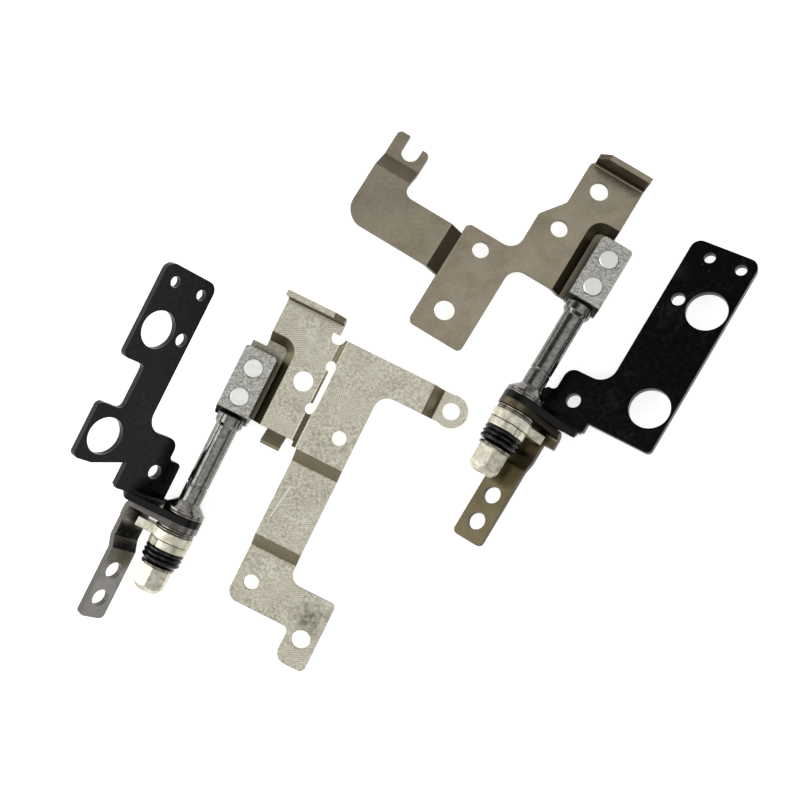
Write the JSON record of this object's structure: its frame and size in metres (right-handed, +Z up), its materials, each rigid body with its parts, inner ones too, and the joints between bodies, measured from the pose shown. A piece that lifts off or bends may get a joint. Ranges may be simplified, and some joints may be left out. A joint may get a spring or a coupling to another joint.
{
  "type": "laptop hinge pair",
  "caption": "Pair of handed friction hinges for a laptop lid: pressed lid brackets, riveted shafts with washer and disc-spring stacks, black base plates and stepped feet.",
  "frame": {"origin": "centre of the bounding box in X and Y, on the surface the pair lies on", "axes": "+Z up from the surface; +Y towards the top of the view and +X to the right of it, seen from above"},
  "size_m": [0.0938, 0.0766, 0.0147],
  "materials": {
    "left_lid_nickel": "satin nickel plate, swirled",
    "right_lid_nickel": "satin nickel plate, brownish",
    "shaft_steel": "ground, glossy",
    "rivet_steel": "bright",
    "black_coat": "gloss black dip coat",
    "left_foot_steel": "satin",
    "right_foot_steel": "satin, brownish",
    "oiled_steel": "oiled, dark",
    "yellow_zinc": "zinc plate, yellowish",
    "spring_steel": "blackened"
  },
  "bodies": {
    "lid_sides": {"left_lid_bracket": "left_lid_nickel", "left_shaft": "shaft_steel", "left_rivets": "rivet_steel", "left_thrust_washer": "oiled_steel", "left_friction_washers": "oiled_steel", "left_notched_washer": "yellow_zinc", "left_disc_springs": "spring_steel", "left_nut_washer": "oiled_steel", "left_nut": "yellow_zinc", "right_lid_bracket": "right_lid_nickel", "right_shaft": "shaft_steel", "right_rivets": "rivet_steel", "right_thrust_washer": "oiled_steel", "right_friction_washers": "oiled_steel", "right_notched_washer": "yellow_zinc", "right_disc_springs": "spring_steel", "right_nut_washer": "oiled_steel", "right_nut": "yellow_zinc"},
    "left_base": {"left_base_bracket": "black_coat", "left_foot_bracket": "left_foot_steel", "left_lug_washer": "yellow_zinc"},
    "right_base": {"right_base_bracket": "black_coat", "right_foot_bracket": "right_foot_steel", "right_lug_washer": "yellow_zinc"}
  },
  "joints": [
    {"name": "left_hinge", "type": "hinge", "parent": "lid_sides", "child": "left_base", "pos_m": [-0.02337, 0.0025, 0.00257], "axis": [-0.4446, -0.8956, 0.0182], "range_deg": [-128, 37]},
    {"name": "right_hinge", "type": "hinge", "parent": "lid_sides", "child": "right_base", "pos_m": [0.02571, 0.01752, 0.00307], "axis": [0.5218, 0.8482, -0.0903], "range_deg": [-154, 11]}
  ]
}
